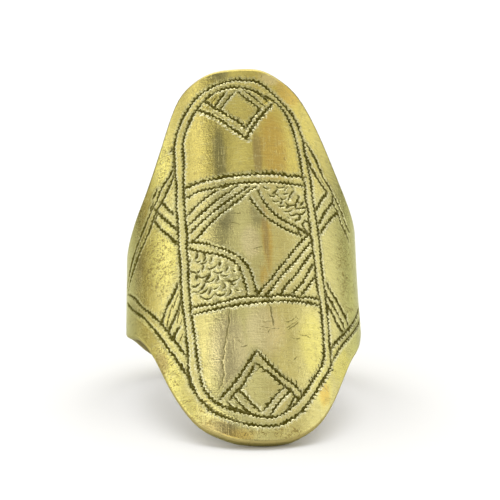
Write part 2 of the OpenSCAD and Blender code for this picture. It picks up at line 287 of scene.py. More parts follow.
     -1.76, -3.53, -1.57, -3.45], [-5.38, -2.96, -5.12, -3.06, -4.88, -2.98, -4.64, -2.85],
     [-2.61, -3.25, -2.5, -3.39, -2.66, -3.76], [-3.72, -3.51, -3.41, -3.63, -3.06, -3.49],
     [-5.33, -3.5, -4.94, -3.6, -4.63, -3.8, -4.3, -3.71, -3.96, -3.46], [-3.35, -4.03,
     -3.28, -4.17, -2.98, -4.32, -2.54, -4.17], [-2.09, -3.84, -2.05, -4.04, -2.19, -4.28,
     -2.45, -4.44], [-4.66, -4.08, -4.39, -4.31, -4.11, -4.43, -3.72, -4.28, -3.52, -4.13],
     [-3.27, -4.82, -3.02, -4.8, -2.61, -4.93], [-3.38, -0.77, -3.51, -1.11], [-2.72, -1.33,
     -2.81, -1.64], [-2.08, -1.82, -2.3, -2.18], [-4.67, 0.01, -4.7, -0.31, -4.85, -0.55],
     [-5.31, -0.49, -5.43, -0.65], [-4.07, -0.26, -3.98, -0.62, -4.13, -0.91], [-4.2, -2.95,
     -4.45, -3.29, -4.8, -3.53], [-4.84, -2.07, -4.94, -2.45], [-1.57, -4.04, -1.36, -4.12],
     [-1.69, -2.2, -1.59, -2.34], [-4.16, -1.31, -4.29, -1.67], [-3.66, -2.14, -3.88, -2.49,
     -4.09, -2.71], [-3.79, -3.68, -3.94, -3.98]]),
    # scales and stray ticks, upper right of the middle
    ("scale", "", "", [[1.67, 5.44, 1.83, 5.23, 2.09, 5.17], [2.76, 5.49, 3.01, 5.3, 3.48, 5.4,
     3.62, 5.52], [2.45, 4.74, 2.86, 5.13], [2.06, 4.62, 2.24, 4.46, 2.6, 4.54], [2.68, 4.71,
     2.87, 4.62, 2.95, 4.49], [3.04, 4.39, 3.29, 4.24, 3.64, 4.4], [3.41, 4.75, 3.82, 4.79],
     [3.56, 5.13, 3.82, 5.39], [4.44, 5.13, 3.92, 4.46, 3.82, 4.12], [2.3, 4.12, 2.57, 3.97,
     2.9, 4.05], [2.77, 3.64, 3.02, 3.55, 3.36, 3.61], [3.04, 3.82, 3.16, 3.96], [3.52, 3.92,
     3.84, 3.71, 4.19, 3.75, 4.48, 3.85], [3.24, 3.13, 3.5, 3.08, 3.85, 3.18, 4.08, 3.33], [3.7, 3,
     3.94, 2.75, 4.23, 2.84, 4.44, 2.94], [3.57, 3.42, 3.7, 3.64], [3.59, 2.62, 3.71, 2.49],
     [5.33, 4.26, 4.9, 3.77]]),
    ("tick", "", "", [[4.21, 5.57, 4.39, 5.34], [4.75, 4.69, 4.88, 4.61, 4.68, 4.31, 4.48, 3.91,
     4.46, 3.38], [4.63, 4.27, 4.79, 4.08], [4.47, 3.41, 4.87, 3.53, 5.48, 3.65], [5.45, 3.44,
     4.66, 2.93, 4.39, 3.03], [4.77, 2.88, 4.53, 2.38, 4.24, 2.35, 4.26, 2.15], [5.28, 2.61,
     5.09, 2.25, 4.89, 2.09, 5.4, 2.37, 5.86, 2.37], [4.89, 2.09, 5.04, 1.78, 5.26, 1.48,
     5.36, 1.29], [4.38, 1.69, 4.66, 1.66, 4.93, 1.5, 5.04, 1.18], [4.44, 1.57, 4.49, 1.18],
     [5.37, 1.16, 5.63, 1.07]]),
    # scratches of wear
    ("gouge", "", "", [[-2.35, -5.63, -2.45, -6.78, -3.03, -8.83, -3.13, -9.56, -3.33, -10.39,
     -3.26, -11.02, -3.4, -11.66, -3.93, -12.62]]),
    ("scratch", "", "", [[0.08, -7.37, 0.41, -7.44, 0.74, -7.51, 1.08, -7.58, 1.68, -7.58],
     [0.29, -6.94, 0.63, -7, 1.06, -6.96], [2.46, -8.21, 2.67, -8.35, 2.94, -8.45, 3.5, -8.38],
     [3.26, -8.04, 3.72, -8.12, 4.21, -8.13], [4.21, -8.13, 4.59, -8.32], [3.2, -6.42, 3.37, -6.59,
     3.55, -6.73], [2.31, -7.53, 2.69, -7.34, 3.09, -7.08, 3.49, -6.79], [2.38, -7.75, 2.76, -7.53,
     3.16, -7.25, 3.57, -6.96], [2.18, -7.03, 2.55, -6.99, 2.93, -6.84, 3.23, -6.64], [0.99, -7.62,
     0.8, -7.8, 0.69, -8.02], [2.68, -10.32, 3.08, -10.04], [-2.19, -8.06, -1.97, -8.31,
     -1.59, -8.75]]),
    ("gouge", "", "", [[1.05, -5.5, 1.14, -6.1, 1.18, -6.7, 1.22, -7.45]]),
    ("scratch", "", "", [[-3.6, -6.28, -3.11, -6.5], [-1.66, -9.05, -1.16, -8.98], [-1.75, 3.89,
     -0.92, 3.54], [-1.4, 2.99, -0.54, 2.98], [-1.64, 2.26, -0.72, 1.97], [0.96, -0.18,
     0.25, -0.43]]),
]

# Stains and rubbed places: across and along the finger on the blank, half width, half height
STAINS = {
    "warm": [(2.7, 9.6, 1.25, 3.2), (5.7, -12.6, 0.6, 1.0), (4.6, 15.4, 1.1, 1.5),
             (-2.6, -16.4, 1.6, 0.7), (1.45, 1.0, 0.40, 3.0), (0.95, -2.8, 0.36, 1.2)],
    "brown": [(-4.2, -15.6, 1.7, 0.9), (-14.0, -3.0, 1.5, 2.2), (-12.4, 1.1, 1.5, 2.4),
              (1.2, 8.7, 0.36, 2.4), (-8.9, -9.0, 0.8, 1.2), (1.35, 1.2, 0.22, 3.0),
              (-13.1, -5.6, 1.0, 0.5)],
    "yellow": [(-6.8, -13.6, 1.4, 1.6), (-8.2, 1.0, 1.8, 3.0), (-8.4, 10.0, 1.6, 3.0),
               (-8.0, -10.2, 1.5, 2.6), (5.0, -8.4, 1.3, 2.6), (5.6, -11.8, 0.9, 1.8),
               (8.0, -9.6, 1.6, 1.6)],
    "dark": [(-2.1, 9.0, 0.55, 2.6), (-1.9, 3.4, 0.7, 1.6), (0.75, 3.2, 0.55, 1.2),
             (-1.6, 16.9, 0.9, 0.5)],
    "ashen": [(0.0, 0.6, 0.8, 1.4), (-2.4, -9.0, 1.6, 3.0), (0.6, -7.4, 1.6, 2.0),
              (3.0, 16.4, 1.0, 0.6)],
    "pitted": [(-8.4, 0.4, 1.9, 2.8), (-9.0, -9.6, 1.9, 2.2), (-6.0, -14.4, 1.6, 1.6),
               (0.5, -16.6, 3.5, 0.7), (10.5, -1.0, 1.6, 3.2), (-12.6, -3.2, 1.8, 1.4),
               (-7.4, 8.6, 0.9, 2.6)],
}
STAIN_OFF_FACE = 0.4  # how much of a stain is left on the rim and the inside


def smooth_step(low, high, x):
    share = np.clip((x - low) / (high - low), 0.0, 1.0)
    return share * share * (3.0 - 2.0 * share)


def between(t, start, end, start_slope, end_slope):
    """A smooth curve from start to end with the given slopes at its ends, t from 0 to 1."""
    return ((2 * t ** 3 - 3 * t ** 2 + 1) * start + (t ** 3 - 2 * t ** 2 + t) * start_slope
            + (3 * t ** 2 - 2 * t ** 3) * end + (t ** 3 - t ** 2) * end_slope)


def through(x, at, values):
    """A smooth line through values that are given at rising places."""
    slope = np.gradient(values, at)
    slope[0] = slope[-1] = 0.0
    i = int(np.clip(np.searchsorted(at, x) - 1, 0, len(at) - 2))
    run = at[i + 1] - at[i]
    t = min(max((x - at[i]) / run, 0.0), 1.0)
    return between(t, values[i], values[i + 1], run * slope[i], run * slope[i + 1])


def edge_at(across, upper):
    """How far the blank reaches along the finger at a place round the curve, up or down."""
    far = abs(across)
    tip = TIP_UP if upper else TIP_DOWN
    narrowed = 1.0 + (far / SHOULDER_AT) ** SHOULDER_POWER
    shield = BAND_HALF_FRONT + (tip - BAND_HALF_FRONT) / narrowed
    back = (BAND_HALF_BACK - BAND_HALF_FRONT) * float(smooth_step(*BACK_WIDENS, far))
    strays = through(across, EDGE_STRAYS[:, 0], EDGE_STRAYS[:, 1 if upper else 2])
    return float(shield + back + strays)


def edge_and_first_row(across, upper):
    """The place of the edge, and of the mesh's first row inside it, set off square to it."""
    edge = edge_at(across, upper)
    slope = (edge_at(across + SLOPE_STEP, upper) - edge) / SLOPE_STEP
    return edge, edge - RIM_ROW * math.hypot(1.0, slope)


def on_blank(points):
    """Points of the engraving, put on the blank."""
    p = np.reshape(points, (-1, 2))
    c, s = math.cos(PATTERN_LEAN), math.sin(PATTERN_LEAN)
    return np.stack([p[:, 0] * c - p[:, 1] * s + PATTERN_MIDDLE[0],
                     p[:, 0] * s + p[:, 1] * c + PATTERN_MIDDLE[1]], 1)


def eased(p):
    """A smooth curve through the points, as closely spaced points."""
    run = np.diff(p, axis=0)
    length = np.hypot(run[:, 0], run[:, 1])[:, None]
    way = run / length
    if len(p) == 2:
        slope = np.vstack([way, way])
    else:
        inner = way[:-1] * length[1:] + way[1:] * length[:-1]
        inner /= length[:-1] + length[1:]
        slope = np.vstack([2 * way[:1] - inner[:1], inner, 2 * way[-1:] - inner[-1:]])
    out = []
    for i, far in enumerate(length[:, 0]):
        steps = max(1, round(float(far) / CURVE_STEP))
        t = (np.arange(steps) / steps)[:, None]
        out.append(between(t, p[i], p[i + 1], far * slope[i], far * slope[i + 1]))
    return np.vstack(out + [p[-1:]])


Cut = namedtuple("Cut", "kind beads hairs curve")


def all_cuts():
    """Every cut of the engraving on the blank."""
    return [Cut(kind, beads, hairs, eased(on_blank(points)))
            for kind, beads, hairs, group in STROKES for points in group]


def along_and_off(curve, points):
    """How far along a curve each point's nearest place is, how far off it, left positive, the
    curve's length, and the direction from the curve to the point."""
    start, run = curve[:-1], np.diff(curve, axis=0)
    length = np.hypot(run[:, 0], run[:, 1])
    begins = np.concatenate([[0], np.cumsum(length)[:-1]])
    gap = points[:, None] - start[None]
    t = np.clip((gap * run).sum(2) / length ** 2, 0, 1)
    miss = gap - t[..., None] * run
    far = np.hypot(miss[..., 0], miss[..., 1])
    best = far.argmin(1)
    rows = np.arange(len(points))
    turn = run[best, 0] * gap[rows, best, 1] - run[best, 1] * gap[rows, best, 0]
    side = np.where(turn < 0, -1.0, 1.0)
    away = miss[rows, best] / np.maximum(far[rows, best], 1e-6)[:, None]
    return begins[best] + t[rows, best] * length[best], far[rows, best] * side, length.sum(), away


def near(curve, points, reach):
    """Numbers of the points that lie in the curve's box, made larger by the reach."""
    low, high = curve.min(0) - reach, curve.max(0) + reach
    return np.flatnonzero(((points > low) & (points < high)).all(1))


def triangle_wave(x):
    return 4.0 * np.abs(x - np.floor(x + 0.5)) - 1.0


def uneven(waves, along, number):
    """The unevenness along a stroke, which differs from stroke to stroke."""
    return sum(size * np.sin(along * rate + shift * number) for size, rate, shift in waves)


def on_side(side, named):
    """Where a feature shows that is named for one side of a stroke, for both, or for none."""
    return {"left": side > 0, "right": side < 0, "both": side != 0, "": side == 0}[named]


# What the nearest stroke is like at a point of the sheet: the beat of the graver, the distance
# off the stroke, the side, half the stroke's width, its teeth, its burr, its sway, its darkness,
# and how much this side of the stroke faces the light
STROKE_COLUMNS = 9
OFF_COLUMN = 1


def no_stroke(count):
    stroke = np.zeros((count, STROKE_COLUMNS))
    stroke[:, OFF_COLUMN] = STROKE_REACH
    return stroke


def engraved(points, cuts):
    """Height of the engraving at points of the sheet, and what the nearest stroke is like."""
    height = np.zeros(len(points))
    stroke = no_stroke(len(points))
    gap_to = np.full(len(points), STROKE_REACH)
    for number, cut in enumerate(cuts):
        kind = KINDS[cut.kind]
        pick = near(cut.curve, points, STROKE_REACH)
        if not len(pick):
            continue
        along, off, length, away = along_and_off(cut.curve, points[pick])
        side, far = np.where(off < 0, -1.0, 1.0), np.abs(off)
        beat = along / kind.rock + uneven(UNEVEN_BEAT, along, number) + BEAT_SHIFT * number
        hand = MEAN_WIDTH + uneven(UNEVEN_WIDTH, along, number)
        tip = min(kind.tip, 0.25 * length)
        ends = smooth_step(-RUN_OUT, tip, along) * smooth_step(-RUN_OUT, tip, length - along)
        broad = 1.0 + (BROADER * smooth_step(*BROAD_ACROSS, np.abs(points[pick, 0]))
                       * smooth_step(*BROAD_ALONG, points[pick, 1]))
        half = kind.half * hand * broad * (0.5 + 0.5 * ends)
        teeth = kind.teeth + HAIR * on_side(side, cut.hairs)
        burr = np.where(on_side(side, cut.beads), kind.burr, PLAIN_LIP * (kind.burr > 0))
        closer = far - half < gap_to[pick]
        gap_to[pick[closer]] = (far - half)[closer]
        columns = np.stack([beat, far, side, half, teeth, burr, np.full(len(far), kind.sway),
                            kind.ink * (0.75 + 0.25 * ends), away @ LIT_FROM], 1)
        stroke[pick[closer]] = columns[closer]
        wide = CUT_SPREAD * half
        if cut.kind == "scale":
            wide = np.where(side > 0, SCALE_SLOPE, wide)
        from_middle = np.abs(off - kind.sway * triangle_wave(beat))
        bite = np.clip(1.0 - from_middle / wide, 0.0, 1.0) ** CUT_FULLNESS
        lip = np.exp(-((from_middle - wide - LIP_OFF) / LIP_WIDE) ** 2)
        height[pick] = np.minimum(height[pick], -kind.depth * hand * ends * bite)
        height[pick] = np.where(height[pick] < 0, height[pick],
                                np.maximum(height[pick], LIP_HEIGHT * burr * ends * lip))
    return height, stroke


def stained(points, spots):
    """How stained the sheet is at its points, 0 to 1."""
    share = np.zeros(len(points))
    for x, y, half_x, half_y in spots:
        far = ((points[:, 0] - x) / half_x) ** 2 + ((points[:, 1] - y) / half_y) ** 2
        share = np.maximum(share, np.exp(-0.7 * far ** 1.5))
    return share


def sheet_blank(cuts):
    """The flat blank with its filed rim, its faces split small where it is to be engraved."""
    bm = bmesh.new()
    bmesh.ops.create_grid(bm, x_segments=COLUMNS, y_segments=ROWS, size=0.5)
    last_row = 1.0 - 2.0 / ROWS
    edges = {}
    for v in bm.verts:
        turn, share = 2.0 * math.pi * v.co.x, 2.0 * v.co.y
        across = OUTER_R * (turn - CROWD_FRONT * math.sin(turn))
        column = (round(v.co.x, 5), share > 0)
        if column not in edges:
            edges[column] = edge_and_first_row(across, share > 0)
        edge, first_row = edges[column]
        inner = first_row * min(abs(share), last_row) / last_row
        v.co.y = math.copysign(edge if abs(share) > last_row + 1e-6 else inner, share)
        v.co.x = across
    bmesh.ops.solidify(bm, geom=bm.faces[:], thickness=METAL)
    ends = [f for f in bm.faces if all(abs(abs(v.co.x) - ROUND_HALF) < 1e-3 for v in f.verts)]
    bmesh.ops.delete(bm, geom=ends, context="FACES_ONLY")
    bmesh.ops.delete(bm, geom=[e for e in bm.edges if e.is_wire], context="EDGES")
    rim = [e for e in bm.edges if len(e.link_faces) == 2 and e.calc_face_angle() > RIM_ANGLE]
    bmesh.ops.bevel(bm, geom=rim, offset=FILED_RIM, offset_type="OFFSET", segments=4, profile=0.5,
                    affect="EDGES", clamp_overlap=False, loop_slide=True, material=-1)
    for reach in REFINE_REACH:
        faces = [f for f in bm.faces if f.normal.z > FACE_UP and f.calc_center_median().z > -0.05]
        middles = np.array([f.calc_center_median().xy for f in faces])
        off = np.full(len(faces), np.inf)
        for cut in cuts:
            pick = near(cut.curve, middles, REFINE_SEARCH)
            if len(pick):
                gap = np.abs(along_and_off(cut.curve, middles[pick])[1])
                off[pick] = np.minimum(off[pick], gap)
        size = np.sqrt([f.calc_area() for f in faces])
        near_enough = off < reach + FACE_SHARE * size
        edges_near = list({e for f, close in zip(faces, near_enough) if close for e in f.edges})
        bmesh.ops.subdivide_edges(bm, edges=edges_near, cuts=1, use_grid_fill=True,
                                  use_single_edge=True)
    return bm


def unevenness(across, along, scale, seed):
    """Gentle unevenness of the metal at a place on the blank, the same at both ends of the band."""
    angle = across / OUTER_R
    at = Vector((OUTER_R * math.sin(angle), along, OUTER_R * math.cos(angle))) / scale
    return noise.noise(at + Vector((seed, 2.0 * seed, 0.0)))


def bent(flat):
    """The flat blank's points, bent round the finger and laid on the ring's side, in metres."""
    lean = BLANK_LEAN * (1.0 - smooth_step(*LEAN_FADES, np.abs(flat[:, 0])))
    across = flat[:, 0] * np.cos(lean) + flat[:, 1] * np.sin(lean)
    along = -flat[:, 0] * np.sin(lean) + flat[:, 1] * np.cos(lean)
    r, angle = OUTER_R + flat[:, 2], across / OUTER_R
    out = r * np.cos(angle)
    return MM * np.stack([r * np.sin(angle), along * math.cos(LYING) - out * math.sin(LYING),
                          along * math.sin(LYING) + out * math.cos(LYING)], 1)


def in_scene(name, data):
    thing = bpy.data.objects.new(name, data)
    bpy.context.scene.collection.objects.link(thing)
    return thing


def engraved_ring():
    """The ring: the blank, engraved, marked for its material, bent and joined at the back."""
    cuts = all_cuts()
    bm = sheet_blank(cuts)
    me = bpy.data.meshes.new("shield_ring")
    bm.to_mesh(me)
    bm.free()
    flat = np.empty(len(me.vertices) * 3, np.float32)
    me.vertices.foreach_get("co", flat)
    flat = flat.reshape(-1, 3).astype(float)
    face = flat[:, 2] > -1e-4
    height, stroke = np.zeros(len(flat)), no_stroke(len(flat))
    height[face], stroke[face] = engraved(flat[face][:, :2], cuts)
    stains = np.stack([stained(flat[:, :2], spots) for spots in STAINS.values()], 1)
    stains[~face] *= STAIN_OFF_FACE
    rim = (flat[:, 2] < -SKIN) & (flat[:, 2] > SKIN - METAL)
    inner = flat[:, 2] <= SKIN - METAL
    under = rim * smooth_step(*UNDER_RIM, flat[:, 2])
    flat[:, 2] += height + [sum(high * unevenness(x, y, long, seed) for high, long, seed in WAVES)
                            for x, y in flat[:, :2]]
    me.vertices.foreach_set("co", bent(flat).astype(np.float32).ravel())
    for name, values in (("stroke", stroke[:, 0:3]), ("stroke_edge", stroke[:, 3:6]),
                         ("stroke_hand_and_lit_side", stroke[:, 6:9]),
                         ("stains_a", stains[:, 0:3]), ("stains_b", stains[:, 3:6]),
                         ("part", np.stack([rim, inner, under], 1))):
        store = me.attributes.new(name, "FLOAT_VECTOR", "POINT").data
        store.foreach_set("vector", values.astype(np.float32).ravel())
    bm = bmesh.new()
    bm.from_mesh(me)
    bmesh.ops.remove_doubles(bm, verts=[v for v in bm.verts if v.is_boundary], dist=WELD * MM)
    bm.to_mesh(me)
    bm.free()
    me.shade_smooth()
    return in_scene("shield_ring", me)


# Materials
class Graph:
    """Short ways to add nodes to a tree."""

    def __init__(self, tree):
        self.nodes, self.links = tree.nodes, tree.links

    def give(self, value, socket):
        if isinstance(value, bpy.types.NodeSocket):
            self.links.new(value, socket)
        else:
            socket.default_value = value

    def maths(self, operation, *values):
        node = self.nodes.new("ShaderNodeMath")
        node.operation = operation
        for value, socket in zip(values, node.inputs):
            self.give(value, socket)
        return node.outputs[0]

    def times(self, *values):
        product = values[0]
        for value in values[1:]:
            product = self.maths("MULTIPLY", product, value)
        return product

    def plus(self, *values):
        total = values[0]
        for value in values[1:]:
            total = self.maths("ADD", total, value)
        return total

    def weighed(self, *pairs):
        """The sum of fields, each times its weight."""
        return self.plus(*(self.times(field, weight) for field, weight in pairs))

    def gap(self, first, second):
        return self.maths("ABSOLUTE", self.maths("SUBTRACT", first, second))

    def ranged(self, value, low, high, to_low=0.0, to_high=1.0, soft=False):
        node = self.nodes.new("ShaderNodeMapRange")
        node.interpolation_type = "SMOOTHSTEP" if soft else "LINEAR"
        for given, name in ((value, "Value"), (low, "From Min"), (high, "From Max"),
                            (to_low, "To Min"), (to_high, "To Max")):
            self.give(given, node.inputs[name])
        return node.outputs["Result"]

    def thread(self, field, thin, wide):
        """A mask of the thin lines along which a noise field is at its middle."""
        return self.ranged(self.gap(field, 0.5), thin, wide, 1.0, 0.0)

    def blend(self, share, first, second):
        """From the first colour to the second, each a socket or red, green and blue."""
        node = self.nodes.new("ShaderNodeMix")
        node.data_type = "RGBA"
        self.give(share, node.inputs["Factor"])
        for value, socket in ((first, node.inputs[6]), (second, node.inputs[7])):
            self.give((*value, 1) if isinstance(value, tuple) else value, socket)
        return node.outputs[2]

    def laid_over(self, colour, *layers):
        """A colour under layers, each a mask, its strength and its tint."""
        for mask, strength, tint in layers:
            colour = self.blend(self.times(mask, strength), colour, tint)
        return colour

    def apart(self, vector):
        node = self.nodes.new("ShaderNodeSeparateXYZ")
        self.give(vector, node.inputs["Vector"])
        return node.outputs

    def attribute(self, name):
        node = self.nodes.new("ShaderNodeAttribute")
        node.attribute_name = name
        return node.outputs["Vector"]

    def mapped(self, vector, turn=(0, 0, 0), scale=(1, 1, 1)):
        node = self.nodes.new("ShaderNodeMapping")
        node.inputs["Rotation"].default_value = turn
        node.inputs["Scale"].default_value = scale
        self.give(vector, node.inputs["Vector"])
        return node.outputs["Vector"]

    def noise(self, vector, scale, detail=3.0, rough=0.5, twist=0.0):
        node = self.nodes.new("ShaderNodeTexNoise")
        for value, name in ((vector, "Vector"), (scale, "Scale"), (detail, "Detail"),
                            (rough, "Roughness"), (twist, "Distortion")):
            self.give(value, node.inputs[name])
        return node.outputs["Fac"]


CLOUDY = (0.38, 0.64)  # range of the clouds in which the brass drifts from shade to shade
GRAZING_TINT = (0.92, 0.95, 0.62)  # of reflections at a flat angle
RELIEF = 0.03 * MM
RELIEF_STRENGTH = 0.5


def new_material(name):
    """A material, its shader, its graph, and the place on its object."""
    material = bpy.data.materials.new(name)
    material.use_nodes = True
    g = Graph(material.node_tree)
    place = g.nodes.new("ShaderNodeTexCoord").outputs["Object"]
    return material, g.nodes["Principled BSDF"], g, place


def stroke_masks(g, hoop):
    """A stroke: a jagged dark core, a flank of painted highlight towards the light and one of
    painted shade away from it, beads of burr with painted glints beside it, and the worked metal
    round it."""
    beat, off, side = g.apart(g.attribute("stroke"))
    half, teeth, burr = g.apart(g.attribute("stroke_edge"))
    sway, ink, lit = g.apart(g.attribute("stroke_hand_and_lit_side"))
    crumbs = g.noise(hoop, 6.0, 2.0, 0.6)
    lumps = g.noise(hoop, 1.9, 2.0, 0.5)
    rocking = g.plus(g.times(g.maths("PINGPONG", beat, 0.5), 4.0), -1.0)
    swayed = g.maths("SUBTRACT", off, g.times(sway, rocking, side, g.plus(0.5, crumbs)))
    slanted = g.maths("PINGPONG", g.weighed((beat, 1.0), (off, 1.6), (lumps, 0.9)), 0.5)
    sparse = g.maths("PINGPONG", g.weighed((beat, 0.8), (off, 1.4), (lumps, 1.3)), 0.5)
    spike = g.times(g.ranged(sparse, 0.0, 0.16, 1.0, 0.0), g.ranged(lumps, 0.36, 0.60, 0.25, 1.0))
    ragged = g.plus(g.ranged(crumbs, 0.0, 1.0, 0.12, -0.12), g.ranged(lumps, 0.0, 1.0, 0.09, -0.09))
    beyond = g.plus(g.maths("SUBTRACT", g.maths("ABSOLUTE", swayed), half),
                    g.times(ragged, g.ranged(half, 0.03, 0.10, 0.2, 1.0)))
    toothed = g.maths("SUBTRACT", beyond, g.times(teeth, spike))
    core = g.times(g.ranged(toothed, -0.035, 0.035, 1.0, 0.0, soft=True), ink,
                   g.ranged(crumbs, 0.30, 0.50, 0.72, 1.0))
    has_burr = g.ranged(burr, 0.1, 0.4)
    # flanks beside the stroke: painted highlight on the side that faces the light, painted shade on
    # the other
    flank = g.times(g.ranged(beyond, 0.02, 0.24, 1.0, 0.0, soft=True), has_burr)
    painted_highlight_flank = g.times(flank, g.ranged(lit, 0.0, 0.7), g.ranged(crumbs, 0.35, 0.60, 0.45, 1.0))
    painted_shade_flank = g.times(flank, g.ranged(lit, 0.2, -0.6), g.ranged(crumbs, 0.35, 0.60, 1.0, 0.55))
    # beads of burr beside the stroke, made bright with painted glints
    bead_wide = g.ranged(burr, 0.5, 1.3, 0.03, 0.165)
    bead_band = g.ranged(g.gap(beyond, bead_wide), g.times(bead_wide, 0.4), bead_wide, 1.0, 0.0,
                         soft=True)
    beads = g.times(bead_band, g.ranged(slanted, 0.14, 0.34, soft=True),
                    g.ranged(burr, 0.55, 1.10), g.ranged(lumps, 0.42, 0.54, 0.10, 1.0))
    worked = g.times(g.ranged(beyond, 0.02, 0.38, 1.0, 0.0, soft=True), has_burr)
    return core, painted_highlight_flank, painted_shade_flank, beads, worked


def brass():
    """Old brass: yellow where it is rubbed, olive where it has dulled, dark down in the cuts; with
    painted highlight, shade and glints beside the strokes and painted shade on the rim, under it
    and inside.
    """
    material, shader, g, place = new_material("worn_brass")
    # x across, y along the finger, z out of the shield, in millimetres
    hoop = g.mapped(place, (-LYING, 0, 0), (1 / MM,) * 3)
    across, along_finger, outwards = g.apart(hoop)
    core, painted_highlight_flank, painted_shade_flank, beads, worked = stroke_masks(g, hoop)

    # the metal between the strokes
    cloud = g.noise(g.mapped(hoop, scale=(1, 0.7, 1)), 0.22, 5.0, 0.62, 0.5)
    mottle = g.noise(hoop, 1.7, 4.0, 0.65, 0.3)
    speckle = g.noise(hoop, 5.5, 3.0, 0.6)
    streak = g.noise(g.mapped(hoop, scale=(2.2, 0.16, 2.2)), 1.0, 4.0, 0.6, 0.3)
    brushed = g.noise(g.mapped(hoop, scale=(0.7, 7.0, 0.7)), 1.0, 4.0, 0.7, 0.2)
    flecks = g.noise(g.mapped(hoop, scale=(1.0, 1.3, 1.0)), 3.4, 2.0, 0.6, 0.8)
    worms = g.noise(g.mapped(hoop, scale=(0.8, 1.5, 0.8)), 1.10, 2.0, 0.5, 1.6)
    scribble = g.noise(g.mapped(hoop, scale=(1, 0.8, 1)), 0.9, 2.5, 0.55, 1.2)
    scuffs = g.noise(g.mapped(hoop, (0, 0, 0.30), (4.6, 0.22, 4.6)), 1.0, 2.0, 0.5)
    wiped = g.ranged(g.weighed((brushed, 0.6), (cloud, 0.4)), 0.40, 0.60)

    # the parts of the ring
    on_front = g.ranged(outwards, 6.0, 9.5)
    far_side = g.ranged(outwards, 6.2, 3.6, soft=True)
    rim, inner_side, under = g.apart(g.attribute("part"))
    in_head = g.times(on_front, g.ranged(along_finger, 5.0, 8.0, soft=True))
    on_left = g.ranged(g.plus(across, g.times(g.plus(mottle, -0.5), 3.0)), -6.5, -8.5)
    on_right = g.ranged(across, 7.0, 9.5)
    # a strip left of the shield's middle, darker, more so in the head
    darker_left_strip = g.times(on_front, g.ranged(across, -2.6, -4.2, soft=True),
                        g.ranged(across, -6.2, -5.4), g.ranged(in_head, 0.0, 1.0, 0.30, 0.42))
    # the underside of the rim on the band's far side, made dark and dull: painted shade
    painted_shade_under_rim = g.times(under, far_side)

    # pits, marks and scratches
    warm, brown, yellow = g.apart(g.attribute("stains_a"))
    dark, ashen, pitted = g.apart(g.attribute("stains_b"))
    pit_field = g.plus(pitted, g.ranged(cloud, 0.5, 0.75, 0.0, 0.30))
    pits = g.times(g.ranged(flecks, 0.60, 0.65), g.ranged(pit_field, 0.15, 0.6))
    marks = g.times(g.thread(worms, 0.016, 0.036), g.ranged(flecks, 0.41, 0.47),
                    g.ranged(pit_field, 0.15, 0.5))
    lines = g.times(g.thread(scribble, 0.002, 0.007), g.ranged(mottle, 0.50, 0.56))
    scuffed = g.times(g.thread(scuffs, 0.004, 0.016), g.ranged(mottle, 0.46, 0.54))

    fray = g.plus(g.ranged(streak, 0.0, 1.0, -0.22, 0.22), g.ranged(brushed, 0.0, 1.0, -0.20, 0.20),
                  g.ranged(mottle, 0.0, 1.0, -0.25, 0.25))

    def frayed(amount):
        return g.ranged(g.plus(amount, fray), 0.12, 0.85, soft=True)

    clouds = g.ranged(cloud, *CLOUDY)
    pale = g.blend(clouds, (0.71, 0.64, 0.248), (0.63, 0.56, 0.214))
    rich = g.blend(clouds, (0.75, 0.63, 0.168), (0.66, 0.55, 0.140))
    # over the bare brass, from below: where it lies, its strength, its tint
    colour = g.laid_over(
        g.blend(g.maths("MAXIMUM", in_head, g.times(on_left, 0.75)), pale, rich),
        (on_right, 0.80, (0.62, 0.615, 0.25)),
        (frayed(ashen), 0.70, (0.84, 0.72, 0.37)),
        (frayed(yellow), 0.75, (0.76, 0.68, 0.19)),
        (frayed(warm), 0.85, (0.69, 0.49, 0.12)),
        (frayed(brown), 0.75, (0.43, 0.325, 0.125)),
        (frayed(dark), 0.62, (0.33, 0.30, 0.135)),
        (g.ranged(mottle, 0.50, 0.70), 0.30, (0.44, 0.39, 0.14)),
        (g.ranged(brushed, 0.56, 0.68), 0.35, (0.44, 0.36, 0.14)),
        (g.ranged(brushed, 0.44, 0.34), 0.30, (0.84, 0.79, 0.40)),
        (g.maths("MAXIMUM", pits, marks), 0.80, (0.27, 0.20, 0.05)),
        (lines, 0.55, (0.28, 0.20, 0.07)),
        (scuffed, 0.26, (0.88, 0.80, 0.42)),
        (darker_left_strip, 1.00, (0.50, 0.41, 0.13)),
        # the filed rim darkened: painted shade that dims the reflections of the top light and the
        # floor in it
        (rim, 0.90, (0.38, 0.31, 0.11)),
        (far_side, 0.86, g.blend(wiped, (0.22, 0.19, 0.08), (0.37, 0.325, 0.14))),
        # painted shade over the inside of the hoop, in two shades that drift with the wiped pattern
        (inner_side, 0.85, g.blend(wiped, (0.15, 0.115, 0.045), (0.30, 0.24, 0.11))),
        # painted shade under the rim on the far side
        (painted_shade_under_rim, 0.85, (0.12, 0.085, 0.038)),
        (worked, 0.40, (0.68, 0.655, 0.33)),
        (g.times(worked, in_head), 0.32, (0.38, 0.36, 0.15)),
        (g.times(worked, g.ranged(speckle, 0.46, 0.38)), 0.55, (0.90, 0.86, 0.55)),
        (g.times(worked, g.ranged(speckle, 0.55, 0.64)), 0.65, (0.22, 0.19, 0.045)),
        # painted shade and painted highlight on the flanks of the strokes, by the side that faces
        # the light
        (painted_shade_flank, 0.62, (0.33, 0.30, 0.085)),
        (painted_highlight_flank, 0.60, (0.92, 0.89, 0.58)),
        # painted glints on the beads of burr
        (beads, 0.95, (0.94, 0.89, 0.55)),
        (core, 1.00, (0.095, 0.080, 0.009)))
    g.give(colour, shader.inputs["Base Color"])
